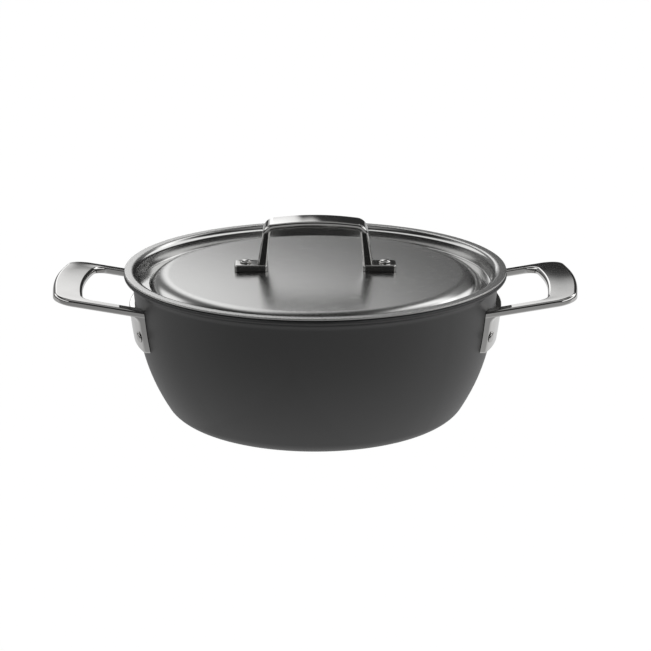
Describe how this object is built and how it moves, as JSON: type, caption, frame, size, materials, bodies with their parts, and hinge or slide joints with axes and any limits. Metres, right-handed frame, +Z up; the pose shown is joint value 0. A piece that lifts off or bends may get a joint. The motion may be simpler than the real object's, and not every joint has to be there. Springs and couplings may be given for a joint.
{
  "type": "conical saucepan",
  "caption": "Wide conical saucepan with a flared lip, riveted loop handles at its sides and a lift-off lid with a riveted bridge handle.",
  "frame": {"origin": "centre of the base, on the plane it stands on", "axes": "+Z up along the pot's axis; +X through the middle of the right-hand side handle; +Y to the back"},
  "size_m": [0.3494, 0.2556, 0.1331],
  "materials": {
    "hard_anodised": "matt dark grey hard-anodised",
    "polished_steel": "polished stainless steel",
    "brushed_steel": "fine brushed stainless steel",
    "disc_steel": "brushed magnetic steel",
    "rivet_steel": "polished stainless steel"
  },
  "bodies": {
    "pot": {"pot_body": "hard_anodised", "base_disc": "disc_steel", "side_handle_left": "polished_steel", "side_handle_right": "polished_steel", "handle_rivet_left_front": "rivet_steel", "handle_rivet_left_back": "rivet_steel", "handle_rivet_right_front": "rivet_steel", "handle_rivet_right_back": "rivet_steel"},
    "lid": {"lid_cover": "brushed_steel", "lid_handle": "polished_steel", "lid_rivet_left": "rivet_steel", "lid_rivet_right": "rivet_steel"}
  },
  "joints": [
    {"name": "lid_lift", "type": "slide", "parent": "pot", "child": "lid", "axis": [0, 0, 1], "range_m": [0, 0.14]}
  ]
}
